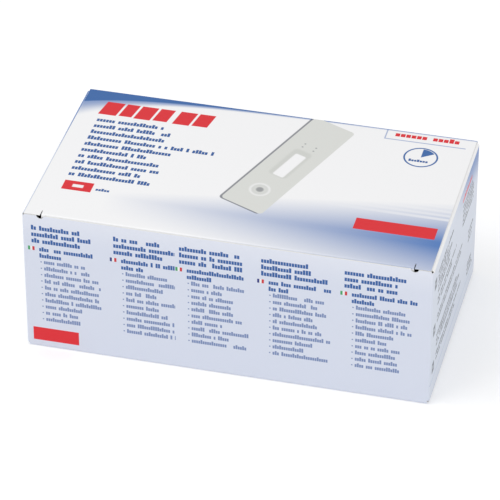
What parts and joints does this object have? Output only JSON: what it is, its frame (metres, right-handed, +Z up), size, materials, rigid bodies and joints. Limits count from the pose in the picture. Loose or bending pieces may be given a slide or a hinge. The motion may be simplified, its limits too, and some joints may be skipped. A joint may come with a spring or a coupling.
{
  "type": "test kit carton",
  "caption": "Folding carton for a rapid test kit, with a hinged tuck-in lid, a snap-lock bottom and the kit's pouches, swab packs, bottles, tubes and leaflet inside.",
  "frame": {"origin": "centre of the carton's footprint, on the surface that it stands on", "axes": "+X along the carton's length to its right end, -Y out of its front panel, +Z up through the lid"},
  "size_m": [0.23, 0.13, 0.09],
  "materials": {
    "printed_board": "coated white folding board with blue offset print, satin varnish",
    "pouch_foil": "laminated foil, satin, slightly wrinkled",
    "peel_pack": "medical paper and clear film, matt and glossy",
    "leaflet_paper": "thin uncoated white paper",
    "rack_plastic": "thermoformed white sheet, satin",
    "tube_plastic": "soft translucent polyethylene",
    "tip_plastic": "natural translucent polyethylene",
    "bottle_plastic": "milky squeezable polyethylene",
    "cap_white": "moulded, satin",
    "cap_blue": "moulded, satin",
    "cap_red": "moulded, satin",
    "cap_green": "moulded, satin"
  },
  "bodies": {
    "carton": {"carton_body": "printed_board", "package_insert": "leaflet_paper", "tube_rack": "rack_plastic", "extraction_tubes": "tube_plastic", "dropper_tips": "tip_plastic", "cassette_pouch_01": "pouch_foil", "cassette_pouch_02": "pouch_foil", "cassette_pouch_03": "pouch_foil", "cassette_pouch_04": "pouch_foil", "cassette_pouch_05": "pouch_foil", "cassette_pouch_06": "pouch_foil", "cassette_pouch_07": "pouch_foil", "cassette_pouch_08": "pouch_foil", "cassette_pouch_09": "pouch_foil", "cassette_pouch_10": "pouch_foil", "cassette_pouch_11": "pouch_foil", "cassette_pouch_12": "pouch_foil", "cassette_pouch_13": "pouch_foil", "cassette_pouch_14": "pouch_foil", "cassette_pouch_15": "pouch_foil", "cassette_pouch_16": "pouch_foil", "cassette_pouch_17": "pouch_foil", "cassette_pouch_18": "pouch_foil", "cassette_pouch_19": "pouch_foil", "cassette_pouch_20": "pouch_foil", "swab_pack_01": "peel_pack", "swab_pack_02": "peel_pack", "swab_pack_03": "peel_pack", "swab_pack_04": "peel_pack", "swab_pack_05": "peel_pack", "swab_pack_06": "peel_pack", "swab_pack_07": "peel_pack", "swab_pack_08": "peel_pack", "swab_pack_09": "peel_pack", "swab_pack_10": "peel_pack", "swab_pack_11": "peel_pack", "swab_pack_12": "peel_pack", "swab_pack_13": "peel_pack", "swab_pack_14": "peel_pack", "swab_pack_15": "peel_pack", "swab_pack_16": "peel_pack", "swab_pack_17": "peel_pack", "swab_pack_18": "peel_pack", "swab_pack_19": "peel_pack", "swab_pack_20": "peel_pack", "reagent_1_bottle": "bottle_plastic", "reagent_1_nozzle": "tip_plastic", "reagent_2_bottle": "bottle_plastic", "reagent_2_nozzle": "tip_plastic", "positive_control_bottle": "bottle_plastic", "positive_control_nozzle": "tip_plastic", "negative_control_bottle": "bottle_plastic", "negative_control_nozzle": "tip_plastic"},
    "lid": {"lid": "printed_board"},
    "reagent_1_cap": {"reagent_1_cap": "cap_white"},
    "reagent_2_cap": {"reagent_2_cap": "cap_blue"},
    "positive_control_cap": {"positive_control_cap": "cap_red"},
    "negative_control_cap": {"negative_control_cap": "cap_green"}
  },
  "joints": [
    {"name": "lid_hinge", "type": "hinge", "parent": "carton", "child": "lid", "pos_m": [0, 0.065, 0.09], "axis": [-1, 0, 0], "range_deg": [0, 180]},
    {"name": "reagent_1_cap_turn", "type": "hinge", "parent": "carton", "child": "reagent_1_cap", "pos_m": [0.0035, -0.0485, 0.05], "axis": [0, 0, 1], "range_deg": [0, 540]},
    {"name": "reagent_2_cap_turn", "type": "hinge", "parent": "carton", "child": "reagent_2_cap", "pos_m": [0.0035, -0.0229, 0.05], "axis": [0, 0, 1], "range_deg": [0, 540]},
    {"name": "positive_control_cap_turn", "type": "hinge", "parent": "carton", "child": "positive_control_cap", "pos_m": [0.0035, -0.0008, 0.05], "axis": [0, 0, 1], "range_deg": [0, 540]},
    {"name": "negative_control_cap_turn", "type": "hinge", "parent": "carton", "child": "negative_control_cap", "pos_m": [0.0035, 0.0178, 0.05], "axis": [0, 0, 1], "range_deg": [0, 540]}
  ]
}
